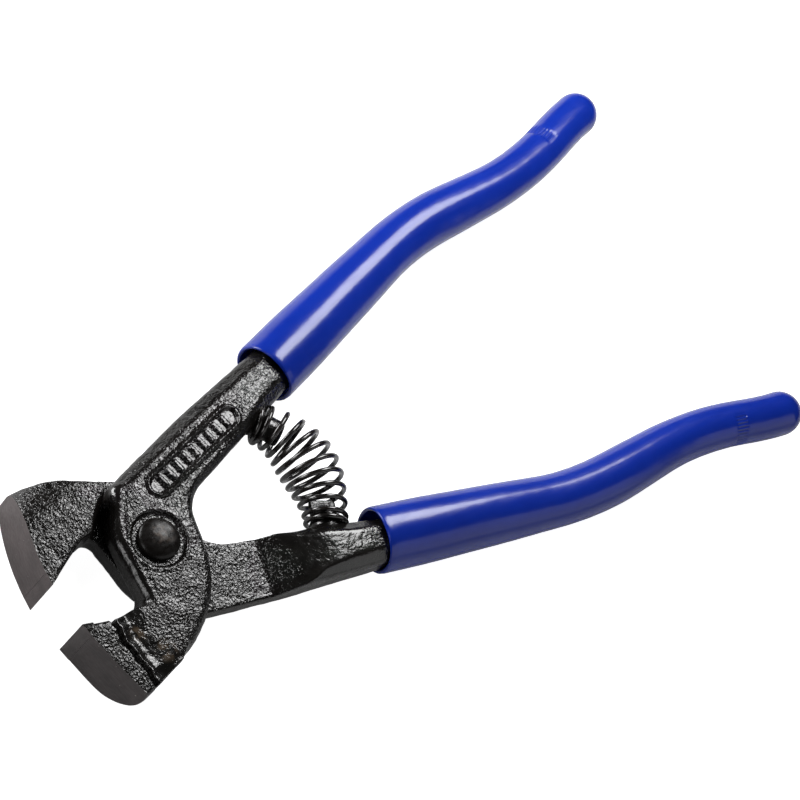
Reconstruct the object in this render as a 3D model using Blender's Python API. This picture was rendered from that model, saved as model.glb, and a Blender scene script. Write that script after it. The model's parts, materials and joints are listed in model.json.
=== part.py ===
"""Tile nippers, 200 mm long when closed, as an assembly of eight separate pieces.

The tool lies flat on its jaw sides and grips. X runs along the tool from the jaws to the
handle ends, Y across the open handles, and Z up through the pivot. Both arms are drawn in
the front arm's own frame: pivot on the Z axis, handle towards +Y, jaw towards -Y, mating
face just above the parting plane z = 0. The back arm is then turned half round about X.
Outlines are in millimetres, and every mesh is scaled to metres as it is made.
"""

import math

import bmesh
import bpy
from mathutils import Matrix, Vector

MM = 0.001

# Whole tool
REST_HALF = 7.5  # half of the jaw width, and the grip's radius at its mouth: both touch the bench
MATING_GAP = 0.15  # each arm's mating face stands this far from the parting plane
FRONT_X = -27.9  # foremost point of the jaws, from the pivot
REAR_X = 166.7  # rearmost point of the grips, from the pivot
PIVOT = Vector((-(FRONT_X + REAR_X) / 2, 0.0, REST_HALF)) * MM
BEYOND = 60.0  # cutters run this far past what they cut

# Pivot
BORE_R = 4.3
SHANK_R = 4.0
HEAD_R = 4.75
HEAD_RIM = 0.7
HEAD_DOME = 1.4
RECESS_R = 6.2
RECESS_DEPTH = 0.7
FOOT_R = 5.3
FOOT_DEPTH = 1.8
PIVOT_SIDES = 28
EYE_SIDES = 48
PEG_SIDES = 20

# Arms
PLATE_HALF = 5.4  # half of the thickness of both eyes together, and of the bare handle
HANDLE_SOFT = 2.7
EYE_SOFT = 1.3
STEP_R_OUTER = 15.4  # the jaw's full width starts this far from the pivot
STEP_R_INNER = 13.2
STOP_LINE = ((-2.95, -15.2), (-4.55, -12.72))  # the jaw's end, which the other shoulder meets
STOP_BEYOND = 20.0  # the shoulder's pocket runs this far past the stop line
POCKET_CORNER = 30.0
RAMP_BEFORE = -4.0  # the handle root's pocket starts this far along the handle
RAMP_HEADING = math.radians(16)
RAMP_START = 24.0
RAMP_END = 40.7
RAMP_SLOPES = (math.radians(35), math.radians(4))
HANDLE_OUTER = ((51.0, 28.4, 0.0), (22.0, 22.1, 60.0), (2.4, 16.6, 20.0), (-2.6, 15.0, 2.5))
EYE_LEFT = ((-8.3, 6.2, 12.0), (-9.2, -5.0, 20.0))
CROTCH = (10.7, 4.9, 10.0)
HANDLE_INNER = (51.0, 17.3, 0.0)

# Jaws, as x, y, corner radius. The jaws differ, as hand-ground ones do.
FRONT_JAW = {
    "tip": (-27.1, -8.5),
    "inner": ((-20.0, -10.8, 10.0), (-13.4, -10.7, 0.0)),
    "throat": (-9.9, -10.7, 3.0),
    "root_inner": (-18.0, -11.4, 0.0),
    "face_end": (-23.0, -28.0),
    "face_bulge": 0.25,
    "root_outer": (-19.0, -26.4, 0.0),
    "outer": ((-10.5, -24.65, 0.0), (-8.2, -22.7, 0.0)),
    "eye": (7.2, -19.9, 27.0),
    "rounding": (8.5, 11.3),
}
BACK_JAW = {
    "tip": (-27.9, -2.0),
    "inner": ((-13.6, -8.79, 0.0),),
    "throat": (-9.9, -10.5, 2.6),
    "root_inner": (-18.0, -7.3, 0.0),
    "face_end": (-21.3, -24.0),
    "face_bulge": 1.3,
    "root_outer": (-18.0, -22.6, 0.0),
    "outer": ((-8.0, -20.15, 0.0), (-5.9, -19.2, 0.0)),
    "eye": (7.8, -15.5, 18.0),
    "rounding": (12.2, 9.8),
}
JAW_ROOT = (-6.5, -12.0, 0.0)
JAW_SOFT = 0.8
FACE_SEGMENTS = 5
ROUNDING_HEADING = math.radians(-15)
ROUNDING_STEPS = 6
ROUNDING_CLEAR = 0.1  # the rounding cutter starts this far below the jaw's side
ROUNDING_DEEP = 5.0
ROUNDING_OUT = -10.0
ROUNDING_FROM = -20.0
SHOULDER_PROFILE = (  # x, z of the jaw's outer side: raised edge, groove, ridge, slope to the eye
    (-22.3, 9.0),
    (-21.9, 5.5),
    (-21.2, 5.0),
    (-20.3, 5.2),
    (-19.6, 6.3),
    (-18.9, 6.1),
    (-15.6, 5.6),
    (-14.6, 4.9),
    (0.0, 4.9),
    (0.0, 9.0),
)

# Carbide tips, as distances along the ground face and along the inner edge
TIP_SECTION = ((0.0, 0.0), (3.0, 0.0), (2.2, 1.75), (0.0, 2.4))
SEAT_SECTION = ((3.35, -2.0), (3.35, 0.0), (2.55, 2.05), (0.0, 2.8), (-2.0, 2.8), (-2.0, -2.0))

# Panel sunk into each arm's outer face
PANEL_FROM = Vector((7.2, 10.3))
PANEL_TO = Vector((30.6, 16.2))
PANEL_HALF_WIDTH = 2.5
PANEL_DEPTH = 0.5

# Return spring, and the pegs inside its ends
SPRING_ARC_R = 43.4
PEG_ANGLE = math.radians(19.2)
PEG_HEADING = math.radians(-73)
PEG_R = 3.0
PEG_HEIGHT = 5.8
PEG_ROOT = 3.0
PEG_SOFT = 0.5
WIRE_R = 0.55
WIRE_SIDES = 7
COIL_END_R = 4.4
COIL_MIDDLE_R = 6.35
COIL_TURNS = 11
COIL_END_PITCH = 2.3  # wire radii between neighbouring closed turns
COIL_POINTS_PER_TURN = 15
COIL_END_ANGLE = math.radians(17.6)
COIL_END_TURNS = 1.0  # the closed turn at each end

# Handle and grip
HANDLE_START = Vector((20.0, 14.68))
HANDLE_HEADING = math.radians(15)
HANDLE_BEND_R = 85.0
HANDLE_RUNS = ((72.5, -15.0), (12.0, 17.0), (18.5, 0.0))  # straight length, then bend in degrees
MOUTH_X = 47.3
GRIP_RADII = (  # distance from the mouth, outer radius
    (0.0, 7.5),
    (14.0, 7.4),
    (30.0, 6.85),
    (45.0, 6.2),
    (66.0, 6.12),
    (78.0, 5.75),
    (88.0, 5.4),
    (100.0, 5.25),
)
GRIP_WALL = 1.9
CORE_GAP = 0.3
MOUTH_GAP = 0.8
MOUTH_FLARE = 8.0
CORE_START = 1.5
CORE_SHORT = 6.0
CORE_SQUARENESS = 2.5
LIP = 0.5
GRIP_STEP = 5.0
GRIP_SIDES = 20
DOME_STEPS = 4
DOME_TOP = math.radians(84)

ARC_STEP = math.radians(15)

# Base colour, roughness, metallic
PAINTED_STEEL = ((0.012, 0.011, 0.011), 0.35, 0.6)
CARBIDE = ((0.075, 0.065, 0.065), 0.38, 0.9)
RIVET_STEEL = ((0.03, 0.028, 0.027), 0.3, 0.7)
SPRING_STEEL = ((0.015, 0.014, 0.014), 0.3, 0.8)
GRIP_VINYL = ((0.006, 0.022, 0.36), 0.25, 0.0)


def clear_scene():
    for obj in list(bpy.data.objects):
        bpy.data.objects.remove(obj, do_unlink=True)


def material(name, look):
    colour, roughness, metallic = look
    made = bpy.data.materials.new(name)
    made.use_nodes = True
    shader = made.node_tree.nodes["Principled BSDF"]
    shader.inputs["Base Color"].default_value = (*colour, 1.0)
    shader.inputs["Roughness"].default_value = roughness
    shader.inputs["Metallic"].default_value = metallic
    return made


def to_object(bm, name, smooth=False):
    """An object from a bmesh drawn in millimetres, its faces turned outwards."""
    bmesh.ops.recalc_face_normals(bm, faces=bm.faces)
    bmesh.ops.scale(bm, vec=(MM, MM, MM), verts=bm.verts)
    for face in bm.faces:
        face.smooth = smooth
    mesh = bpy.data.meshes.new(name)
    bm.to_mesh(mesh)
    bm.free()
    obj = bpy.data.objects.new(name, mesh)
    bpy.context.scene.collection.objects.link(obj)
    return obj


def helper(bm, name):
    """A cutter, or a piece to join on: out of the render and drawn as wire."""
    obj = to_object(bm, name)
    obj.hide_render = True
    obj.display_type = "WIRE"
    return obj


def boolean(target, operation, *others):
    for other in others:
        modifier = target.modifiers.new(f"{operation}_{other.name}"[:60], "BOOLEAN")
        modifier.operation = operation
        modifier.solver = "EXACT"
        modifier.object = other


def polar(radius, angle):
    return Vector((radius * math.cos(angle), radius * math.sin(angle)))


def arc(centre, radius, start, end):
    """Points on an arc, both ends included, no further apart than the arc step."""
    steps = max(1, math.ceil(abs(end - start) / ARC_STEP))
    return [centre + polar(radius, start + (end - start) * i / steps) for i in range(steps + 1)]


def rounded(corners):
    """A closed outline through (x, y, radius) corners, each rounded to its radius."""
    outline = []
    for i, (x, y, radius) in enumerate(corners):
        corner = Vector((x, y))
        if radius == 0.0:
            outline.append(corner)
            continue
        before = (Vector(corners[i - 1][:2]) - corner).normalized()
        after = (Vector(corners[(i + 1) % len(corners)][:2]) - corner).normalized()
        half = before.angle(after) / 2
        centre = corner + (before + after).normalized() * radius / math.sin(half)
        first = corner + before * radius / math.tan(half) - centre
        side = 1 if after.cross(before) > 0 else -1
        start = math.atan2(first.y, first.x)
        outline += arc(centre, radius, start, start + side * (math.pi - 2 * half))
    return outline


def prism(outline, low, high):
    """A bmesh of the outline, extruded from one height to the other."""
    bm = bmesh.new()
    base = bm.faces.new([bm.verts.new((point[0], point[1], low)) for point in outline])
    extruded = bmesh.ops.extrude_face_region(bm, geom=[base])["geom"]
    top = [item for item in extruded if isinstance(item, bmesh.types.BMVert)]
    bmesh.ops.translate(bm, vec=(0, 0, high - low), verts=top)
    return bm


def bar(section, origin, heading, start, end):
    """A bmesh of a section drawn in (left of the heading, up), extruded along the heading."""
    bm = prism(section, start, end)
    lay_down = Matrix(((0, 0, 1, 0), (1, 0, 0, 0), (0, 1, 0, 0), (0, 0, 0, 1)))
    place = Matrix.Translation((origin[0], origin[1], 0)) @ Matrix.Rotation(heading, 4, "Z")
    bmesh.ops.transform(bm, matrix=place @ lay_down, verts=bm.verts)
    return bm


def lathe(profile, sides):
    """A bmesh of a closed (radius, z) profile turned about Z, its ends on the axis."""
    bm = bmesh.new()
    points = [bm.verts.new((radius, 0, z)) for radius, z in profile]
    edges = [bm.edges.new(pair) for pair in zip(points, points[1:])]
    bmesh.ops.spin(
        bm,
        geom=points + edges,
        cent=(0, 0, 0),
        axis=(0, 0, 1),
        angle=2 * math.pi,
        steps=sides,
        use_merge=True,
    )
    bmesh.ops.remove_doubles(bm, verts=bm.verts, dist=1e-4)
    return bm


def loft(rings):
    """One closed skin over rings of equal count, with a flat cap at each end."""
    bm = bmesh.new()
    layers = [[bm.verts.new(point) for point in points] for points in rings]
    for lower, upper in zip(layers, layers[1:]):
        for i in range(len(lower)):
            j = (i + 1) % len(lower)
            bm.faces.new((lower[i], lower[j], upper[j], upper[i]))
    bm.faces.new(layers[0][::-1])
    bm.faces.new(layers[-1])
    return bm


def after_run(point, heading, length, bend, done):
    """Point and heading part of the way along a straight run and the bend that follows it."""
    reached = point + polar(min(done, length), heading)
    turned = math.copysign(max(0.0, done - length) / HANDLE_BEND_R, bend)
    chord = 2 * HANDLE_BEND_R * math.sin(abs(turned) / 2)
    return reached + polar(chord, heading + turned / 2), heading + turned


def handle_path():
    """(point, heading, distance from the mouth) along the handle's centreline."""
    path = []
    point = HANDLE_START
    heading = HANDLE_HEADING
    travelled = (HANDLE_START.x - MOUTH_X) / math.cos(HANDLE_HEADING)
    for length, bend_degrees in HANDLE_RUNS:
        bend = math.radians(bend_degrees)
        whole = length + abs(bend) * HANDLE_BEND_R
        count = round(whole / GRIP_STEP)
        for i in range(count):
            done = whole * i / count
            path.append((*after_run(point, heading, length, bend, done), travelled + done))
        point, heading = after_run(point, heading, length, bend, whole)
        travelled += whole
    path.append((point, heading, travelled))
    return path


def grip_radius(distance):
    """Outer radius of the grip at a distance from its mouth."""
    for (start, first), (end, last) in zip(GRIP_RADII, GRIP_RADII[1:]):
        if distance <= end:
            return first + (last - first) * max(0.0, distance - start) / (end - start)
    return GRIP_RADII[-1][1]


def core_radius(distance):
    return grip_radius(distance) - GRIP_WALL


def cavity_radius(distance):
    """The hollow of the grip: clear of the steel, and flared towards the mouth."""
    flare = (MOUTH_GAP - CORE_GAP) * max(0.0, 1 - distance / MOUTH_FLARE)
    return core_radius(distance) + CORE_GAP + flare


def ring(point, heading, radius, squareness=2.0):
    """A ring of points square to the path: a circle, or boxier as squareness goes above 2."""
    across = Vector((-math.sin(heading), math.cos(heading), 0))
    points = []
    for i in range(GRIP_SIDES):
        angle = 2 * math.pi * i / GRIP_SIDES
        c, s = math.cos(angle), math.sin(angle)
        reach = radius * (abs(c) ** squareness + abs(s) ** squareness) ** (-1 / squareness)
        points.append(point.to_3d() + across * (reach * c) + Vector((0, 0, reach * s)))
    return points


def tube_rings(path, start, end, radius_at, squareness=2.0):
    """Rings along the path between two distances, the first exactly at the start."""
    mouth_point, mouth_heading, mouth_distance = next(p for p in path if p[2] > start)
    first = mouth_point + polar(start - mouth_distance, mouth_heading)
    rings = [ring(first, mouth_heading, radius_at(start), squareness)]
    for point, heading, distance in path:
        if start + GRIP_STEP / 3 < distance < end:
            rings.append(ring(point, heading, radius_at(distance), squareness))
    return rings


def dome_rings(path, end, radius, squareness=2.0):
    """Rings closing in over a rounded end, on the path's last straight run."""
    point, heading, distance = path[-1]
    rings = []
    for i in range(DOME_STEPS + 1):
        angle = DOME_TOP * i / DOME_STEPS
        centre = point + polar(end - distance - radius * (1 - math.sin(angle)), heading)
        rings.append(ring(centre, heading, radius * math.cos(angle), squareness))
    return rings


def rod(path, start, end, radius_at, squareness=2.0):
    """Rings from a flat start to a rounded end."""
    radius = radius_at(end)
    straight = tube_rings(path, start, end - radius - GRIP_STEP / 3, radius_at, squareness)
    return straight + dome_rings(path, end, radius, squareness)


def grip_skin(path):
    """The hollow from its blind end to the mouth, then the outside from the mouth to the end."""
    length = path[-1][2]
    hollow = rod(path, 0.0, length - CORE_SHORT + CORE_GAP, cavity_radius, CORE_SQUARENESS)
    outside = rod(path, LIP, length, grip_radius)
    point, heading, distance = next(p for p in path if p[2] > 0)
    mouth = ring(point + polar(-distance, heading), heading, grip_radius(0.0) - LIP)
    return loft(hollow[::-1] + [mouth] + outside)


def jaw_face(jaw):
    """The ground face in plan, bulging a little, from the cutting edge to the face end."""
    tip, end = Vector(jaw["tip"]), Vector(jaw["face_end"])
    outward = -(end - tip).normalized().orthogonal()
    points = []
    for i in range(FACE_SEGMENTS + 1):
        share = i / FACE_SEGMENTS
        bulge = jaw["face_bulge"] * 4 * share * (1 - share)
        points.append(tip.lerp(end, share) + outward * bulge)
    return points


def rim_edges(bm, heights):
    """The edges of a prism that lie on its top or its bottom."""
    return [
        edge
        for edge in bm.edges
        if any(all(abs(v.co.z - height) < 1e-6 for v in edge.verts) for height in heights)
    ]


def plate(name, jaw):
    """Handle root, eye and jaw root as one slab with softened rims, deeper along the handle."""
    corners = [*HANDLE_OUTER, *EYE_LEFT, jaw["throat"], jaw["root_inner"], jaw["root_outer"]]
    corners += [jaw["eye"], CROTCH, HANDLE_INNER]
    bm = prism(rounded(corners), -PLATE_HALF, PLATE_HALF)
    weights = bm.edges.layers.float.new("bevel_weight_edge")
    for edge in rim_edges(bm, (-PLATE_HALF, PLATE_HALF)):
        middle = (edge.verts[0].co + edge.verts[1].co) / 2
        on_handle = middle.x > 2.0 and middle.y > 16.0 or middle.x > 20.0
        edge[weights] = 1.0 if on_handle else EYE_SOFT / HANDLE_SOFT
    obj = to_object(bm, name)
    soften = obj.modifiers.new("soft_rims", "BEVEL")
    soften.limit_method = "WEIGHT"
    soften.width = HANDLE_SOFT * MM
    soften.segments = 1
    soften.use_clamp_overlap = False
    return obj


def jaw_block(name, jaw):
    """The jaw at its full width, back to the step round the other arm's eye."""
    face = [(point.x, point.y, 0.0) for point in jaw_face(jaw)]
    stop = [(x, y, 0.0) for x, y in STOP_LINE]
    corners = [JAW_ROOT, *jaw["inner"][::-1], *face, *jaw["outer"], *stop]
    bm = prism(rounded(corners), -REST_HALF, REST_HALF)
    on_face = {(round(x, 4), round(y, 4)) for x, y, _ in face}
    soft = [
        edge
        for edge in rim_edges(bm, (-REST_HALF, REST_HALF))
        if not all((round(v.co.x, 4), round(v.co.y, 4)) in on_face for v in edge.verts)
    ]
    bmesh.ops.bevel(bm, geom=soft, offset=JAW_SOFT, segments=1, affect="EDGES")
    return helper(bm, name)


def corner_cutter(name, jaw):
    """What lies outside the elliptic rounding of the jaw's outer corner on its parting side."""
    width, height = jaw["rounding"]
    below = -REST_HALF - ROUNDING_CLEAR
    section = [
        (width * (1 - math.cos(angle)), below + height * (1 - math.sin(angle)))
        for angle in (math.pi / 2 * i / ROUNDING_STEPS for i in range(ROUNDING_STEPS + 1))
    ]
    deep = below - ROUNDING_DEEP
    section += [(width, deep), (ROUNDING_OUT, deep), (ROUNDING_OUT, below + height)]
    return helper(bar(section, jaw["face_end"], ROUNDING_HEADING, ROUNDING_FROM, BEYOND), name)


def shoulder_cutter(name):
    """Everything above the stepped profile of the jaw's outer side."""
    return helper(bar(SHOULDER_PROFILE, (0, 0), math.radians(-90), 0.0, BEYOND), name)


def eye_pocket(name):
    """Room for the other arm's eye on the jaw side: a cone, wider away from the mating face."""
    slope = (STEP_R_OUTER - STEP_R_INNER) / (REST_HALF + MATING_GAP)
    deep = -2 * REST_HALF
    deep_r = STEP_R_INNER + slope * (MATING_GAP - deep)
    profile = ((0, deep), (deep_r, deep), (STEP_R_INNER, MATING_GAP), (0, MATING_GAP))
    return helper(lathe(profile, EYE_SIDES), name)


def shoulder_pocket(name):
    """Room for the other arm's shoulder, up to the stop line on the jaw."""
    outer, inner = Vector(STOP_LINE[0]), Vector(STOP_LINE[1])
    along = (outer - inner).normalized()
    corner = POCKET_CORNER
    outline = [inner, outer + along * STOP_BEYOND, (corner, -corner), (corner, 0.0), (0.0, 0.0)]
    return helper(prism(outline, -2 * REST_HALF, MATING_GAP), name)


def ramp_pocket(name):
    """Room for the other arm's handle root, ending in a rounded ramp down to full thickness."""
    steep, gentle = RAMP_SLOPES
    radius = (RAMP_END - RAMP_START) / (math.sin(steep) - math.sin(gentle))
    start = Vector((RAMP_START, MATING_GAP))
    centre = start + Vector((math.sin(steep), math.cos(steep))) * radius
    ramp = arc(centre, radius, -math.pi / 2 - steep, -math.pi / 2 - gentle)
    floor = -2 * REST_HALF
    section = [(RAMP_BEFORE, floor), (RAMP_BEFORE, MATING_GAP), *ramp, (RAMP_END, floor)]
    return helper(bar(section, (0, 0), RAMP_HEADING - math.pi / 2, -BEYOND, BEYOND), name)


def bore(name):
    half = 2 * REST_HALF
    profile = ((0, -half), (BORE_R, -half), (BORE_R, half), (0, half))
    return helper(lathe(profile, PIVOT_SIDES), name)


def head_recess(name):
    """A shallow ring round the rivet head on the front arm's outer face."""
    floor, above = PLATE_HALF - RECESS_DEPTH, 2 * PLATE_HALF
    profile = ((0, floor), (RECESS_R, floor), (RECESS_R, above), (0, above))
    return helper(lathe(profile, PIVOT_SIDES), name)


def foot_countersink(name):
    """A cone in the back arm's outer face for the foot of the rivet."""
    wide = FOOT_R + MATING_GAP * 2
    profile = (
        (0, PLATE_HALF - FOOT_DEPTH),
        (BORE_R, PLATE_HALF - FOOT_DEPTH),
        (wide, PLATE_HALF),
        (wide, PLATE_HALF * 2),
        (0, PLATE_HALF * 2),
    )
    return helper(lathe(profile, PIVOT_SIDES), name)


def panel_recess(name):
    """A stadium-shaped panel in the arm's outer face."""
    across = (PANEL_TO - PANEL_FROM).normalized()
    side = math.atan2(across.y, across.x) + math.pi / 2
    outline = arc(PANEL_FROM, PANEL_HALF_WIDTH, side, side + math.pi)
    outline += arc(PANEL_TO, PANEL_HALF_WIDTH, side + math.pi, side + 2 * math.pi)
    return helper(prism(outline, PLATE_HALF - PANEL_DEPTH, PLATE_HALF * 2), name)


def tip_outline(jaw, section):
    """A section given along the ground face and along the inner edge, as points in plan."""
    first, second = jaw_face(jaw)[:2]
    down_face = (second - first).normalized()
    along_inner = (Vector(jaw["inner"][0][:2]) - first).normalized()
    return [first + down_face * a + along_inner * b for a, b in section]


def tip_seat(name, jaw):
    """The notch that the carbide tip is brazed into."""
    return helper(prism(tip_outline(jaw, SEAT_SECTION), -REST_HALF * 2, REST_HALF * 2), name)


def peg(name):
    """The forged peg that holds one end of the spring."""
    profile = (
        (0, -PEG_ROOT),
        (PEG_R, -PEG_ROOT),
        (PEG_R, PEG_HEIGHT - PEG_SOFT),
        (PEG_R - PEG_SOFT, PEG_HEIGHT),
        (0, PEG_HEIGHT),
    )
    bm = lathe(profile, PEG_SIDES)
    base = polar(SPRING_ARC_R, PEG_ANGLE).to_3d()
    stand = Matrix.Rotation(PEG_HEADING, 4, "Z") @ Matrix.Rotation(math.pi / 2, 4, "Y")
    bmesh.ops.transform(bm, matrix=Matrix.Translation(base) @ stand, verts=bm.verts)
    return helper(bm, name)


def core(name, path):
    """The rounded steel of the handle, out of sight inside the grip."""
    end = path[-1][2] - CORE_SHORT
    return helper(loft(rod(path, CORE_START, end, core_radius, CORE_SQUARENESS)), name)


def arm(side, jaw, path, pivot_cutter):
    """One forging: jaw, eye, handle root with its peg, and the steel inside the grip."""
    forging = plate(f"{side}_arm", jaw)
    block = jaw_block(f"{side}_jaw_block", jaw)
    boolean(block, "DIFFERENCE", shoulder_cutter(f"{side}_jaw_shoulder"))
    boolean(forging, "UNION", block)
    boolean(
        forging,
        "DIFFERENCE",
        corner_cutter(f"{side}_jaw_rounding", jaw),
        eye_pocket(f"{side}_eye_pocket"),
        shoulder_pocket(f"{side}_shoulder_pocket"),
        ramp_pocket(f"{side}_ramp_pocket"),
    )
    boolean(forging, "UNION", core(f"{side}_core", path), peg(f"{side}_peg"))
    boolean(
        forging,
        "DIFFERENCE",
        bore(f"{side}_bore"),
        pivot_cutter(f"{side}_pivot_seat"),
        panel_recess(f"{side}_panel"),
        tip_seat(f"{side}_tip_seat", jaw),
    )
    return forging


def carbide_tip(side, jaw):
    outline = tip_outline(jaw, TIP_SECTION)
    return to_object(prism(outline, -REST_HALF, REST_HALF), f"{side}_carbide_tip")


def grip(side, path):
    return to_object(grip_skin(path), f"{side}_grip", smooth=True)


def pivot_rivet():
    """Domed head over the front arm, shank through both, foot flush in the back arm."""
    seat = PLATE_HALF - RECESS_DEPTH + MATING_GAP
    rim = seat + HEAD_RIM
    foot = -PLATE_HALF + MATING_GAP
    dome = [
        (HEAD_R * math.cos(angle), rim + HEAD_DOME * math.sin(angle))
        for angle in (math.pi / 2 * i / DOME_STEPS for i in range(DOME_STEPS + 1))
    ]
    profile = [(0.0, foot), (FOOT_R, foot), (SHANK_R, -PLATE_HALF + FOOT_DEPTH), (SHANK_R, seat)]
    profile += [(HEAD_R, seat), *dome[:-1], (0.0, rim + HEAD_DOME)]
    rivet = to_object(lathe(profile, PIVOT_SIDES), "pivot_rivet", smooth=True)
    rivet.data.set_sharp_from_angle(angle=math.radians(40))
    return rivet


def coil_point(turn):
    """(wire centre, direction from the coil's axis) after this many turns."""
    open_turns = COIL_TURNS - 2 * COIL_END_TURNS
    end_span = COIL_END_PITCH * WIRE_R * COIL_END_TURNS / SPRING_ARC_R
    open_span = 2 * COIL_END_ANGLE - 2 * end_span
    into_open = min(max(turn - COIL_END_TURNS, 0.0), open_turns)
    in_ends = (turn - into_open) / (2 * COIL_END_TURNS)
    sweep = -COIL_END_ANGLE + 2 * end_span * in_ends + open_span * into_open / open_turns
    radius = COIL_END_R + (COIL_MIDDLE_R - COIL_END_R) * math.sin(math.pi * turn / COIL_TURNS)
    phase = 2 * math.pi * turn
    out = polar(1.0, sweep).to_3d() * math.cos(phase) + Vector((0, 0, math.sin(phase)))
    return polar(SPRING_ARC_R, sweep).to_3d() + out * radius, out


def return_spring():
    """A barrel-shaped compression spring, bent round the pivot between the two arms."""
    rings = []
    steps = COIL_TURNS * COIL_POINTS_PER_TURN
    small = 1e-3
    for i in range(steps + 1):
        turn = i / COIL_POINTS_PER_TURN
        centre, out = coil_point(turn)
        along = (coil_point(turn + small)[0] - coil_point(turn - small)[0]).normalized()
        side = along.cross(out).normalized()
        out = side.cross(along)
        angles = [2 * math.pi * k / WIRE_SIDES for k in range(WIRE_SIDES)]
        rings.append([centre + (out * math.cos(a) + side * math.sin(a)) * WIRE_R for a in angles])
    return to_object(loft(rings), "return_spring", smooth=True)


def settle(obj, turned):
    """Puts the object's origin on the pivot, turned over for the back arm."""
    obj.location = PIVOT
    if turned:
        obj.rotation_euler.x = math.pi


def finish(obj, look, turned=False):
    """Gives the piece its material and its place."""
    obj.data.materials.append(look)
    settle(obj, turned)


def build():
    clear_scene()
    path = handle_path()
    paint = material("painted_steel", PAINTED_STEEL)
    carbide = material("carbide", CARBIDE)
    rivet_steel = material("rivet_steel", RIVET_STEEL)
    spring_steel = material("spring_steel", SPRING_STEEL)
    vinyl = material("grip_vinyl", GRIP_VINYL)

    sides = (("front", FRONT_JAW, head_recess), ("back", BACK_JAW, foot_countersink))
    for side, jaw, pivot_cutter in sides:
        turned = side == "back"
        finish(arm(side, jaw, path, pivot_cutter), paint, turned)
        finish(carbide_tip(side, jaw), carbide, turned)
        finish(grip(side, path), vinyl, turned)
        for obj in bpy.data.objects:
            if obj.hide_render and side in obj.name:
                settle(obj, turned)
    finish(pivot_rivet(), rivet_steel)
    finish(return_spring(), spring_steel)


build()
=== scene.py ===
"""Looks of the tile nippers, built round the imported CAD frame.

Every shape is drawn in millimetres about the pivot, in one arm's own frame: the handle runs towards +X,
the jaw lies towards -X, z = 0 is the tool's mid-plane and +Z is the arm's outer side. The front arm is
placed as drawn, and the back arm's pieces are turned half round about X. Both forgings are distance
fields on a grid, blended where a forging has fillets, and cut afterwards where it is ground.
"""

import json
import math

import bmesh
import bpy
import numpy as np
import openvdb
from mathutils import Matrix, Vector


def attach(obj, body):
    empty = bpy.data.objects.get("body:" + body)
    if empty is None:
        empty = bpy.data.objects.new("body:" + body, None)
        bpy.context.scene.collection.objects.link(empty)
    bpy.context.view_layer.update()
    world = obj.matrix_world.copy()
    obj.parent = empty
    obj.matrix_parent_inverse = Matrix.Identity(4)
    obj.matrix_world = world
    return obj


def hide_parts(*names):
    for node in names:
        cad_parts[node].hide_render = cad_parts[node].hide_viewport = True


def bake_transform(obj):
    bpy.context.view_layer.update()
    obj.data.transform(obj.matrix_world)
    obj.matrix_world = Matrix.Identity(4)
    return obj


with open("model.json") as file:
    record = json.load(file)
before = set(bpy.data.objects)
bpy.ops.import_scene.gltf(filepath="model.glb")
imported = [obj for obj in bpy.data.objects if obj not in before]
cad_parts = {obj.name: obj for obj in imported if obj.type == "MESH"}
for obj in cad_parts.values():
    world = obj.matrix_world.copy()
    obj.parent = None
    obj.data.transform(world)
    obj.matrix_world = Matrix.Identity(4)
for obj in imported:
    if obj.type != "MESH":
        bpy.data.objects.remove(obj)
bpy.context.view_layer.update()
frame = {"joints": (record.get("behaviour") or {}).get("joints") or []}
PIVOT = Vector(frame["joints"][0]["pos_m"])

MM = 0.001
TURN = 2 * math.pi

# Arms
MATING_GAP = 0.15  # each mating face stands this far from the mid-plane
PLATE_HALF = 5.4
JAW_HALF = 7.5
BORE_R = 4.2
STEP_R_INNER = 13.2
STEP_SLOPE = 0.288
TRIM_LEVEL = 0.1  # the jaw's corner is trimmed below this height
STOP_LINE = ((-4.4, -16.6), (-5.3, -13.4))
EYE_LEFT = ((-8.8, 6.2, 12.0), (-9.9, -5.0, 20.0))
JAW_ROOT = (-6.5, -12.0, 0.0)

# Corners are (x, y, radius). A peg is x, y, heading and height, from the handle's inner side.
FRONT_JAW = {
    "tip": (-27.1, -8.35),
    "inner": ((-20.0, -10.55, 10.0), (-13.4, -10.4, 0.0)),
    "throat": (-10.45, -10.6, 2.0),
    "root_inner": (-18.0, -11.4, 0.0),
    "face_end": (-23.0, -28.0),
    "face_bulge": 0.25,
    "root_outer": (-19.0, -26.4, 0.0),
    "outer": ((-10.5, -24.65, 0.0), (-8.2, -22.7, 0.0)),
    "eye": (7.2, -19.9, 27.0),
    "rounding": (9.2, 11.8),
    "handle_outer": ((51.0, 28.15, 0.0), (22.0, 21.85, 60.0), (2.4, 16.5, 20.0), (-2.6, 15.0, 2.5)),
    "handle_inner": (51.0, 17.1, 0.0),
    "crotch": (11.5, 4.7, 9.0),
    "outer_chamfer": (2.8, 2.8),
    "eye_chamfer": 1.5,
    "peg": (38.3, 13.5, math.radians(-56), 6.4),
}
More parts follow.
